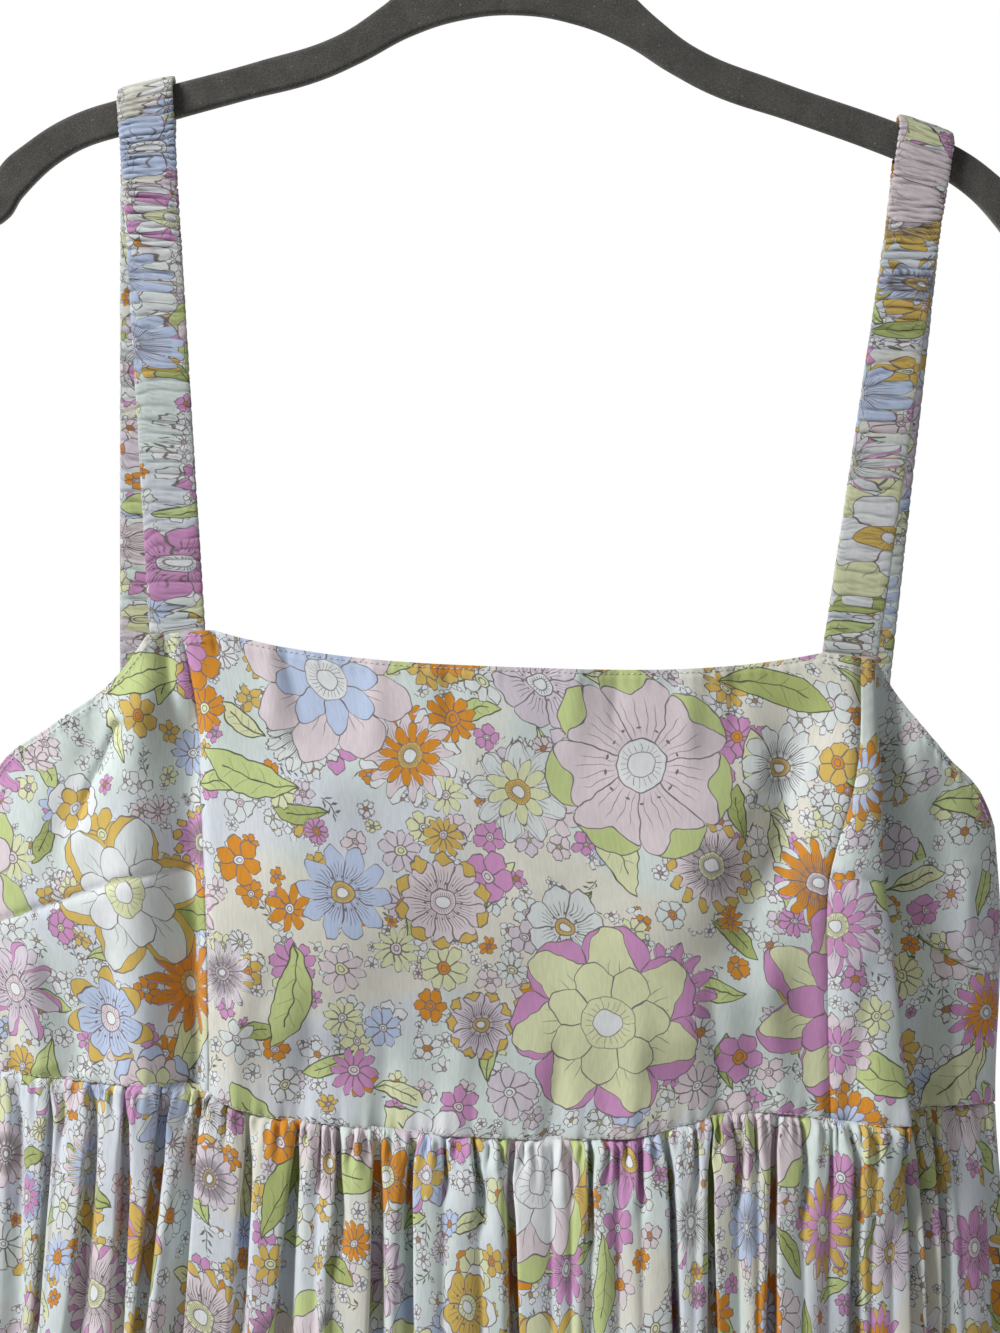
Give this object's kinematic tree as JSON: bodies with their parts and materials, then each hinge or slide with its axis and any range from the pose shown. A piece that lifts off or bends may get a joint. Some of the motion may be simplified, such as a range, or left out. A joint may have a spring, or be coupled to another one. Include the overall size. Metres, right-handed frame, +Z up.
{
  "type": "maxi dress on hanger",
  "caption": "Sleeveless square-necked maxi dress with ruched elastic straps, seamed bodice and a long gathered skirt, hanging on a slim flocked hanger.",
  "frame": {"origin": "the highest point inside the hook, where a rail carries it", "axes": "+Z up, the front of the dress faces -Y, +X to the viewer's right"},
  "size_m": [0.676, 0.1883, 1.4942],
  "materials": {
    "printed_cotton": "thin plain-weave cotton with a flower print",
    "flocked_plastic": "dark grey flock",
    "hook_wire": "polished wire"
  },
  "bodies": {
    "root": {"bodice_centre_front": "printed_cotton", "bodice_side_front_left": "printed_cotton", "bodice_side_front_right": "printed_cotton", "bodice_back": "printed_cotton", "strap_left": "printed_cotton", "strap_right": "printed_cotton", "skirt_front": "printed_cotton", "skirt_back": "printed_cotton", "hanger_bar": "flocked_plastic", "hanger_hook": "hook_wire"}
  },
  "joints": []
}
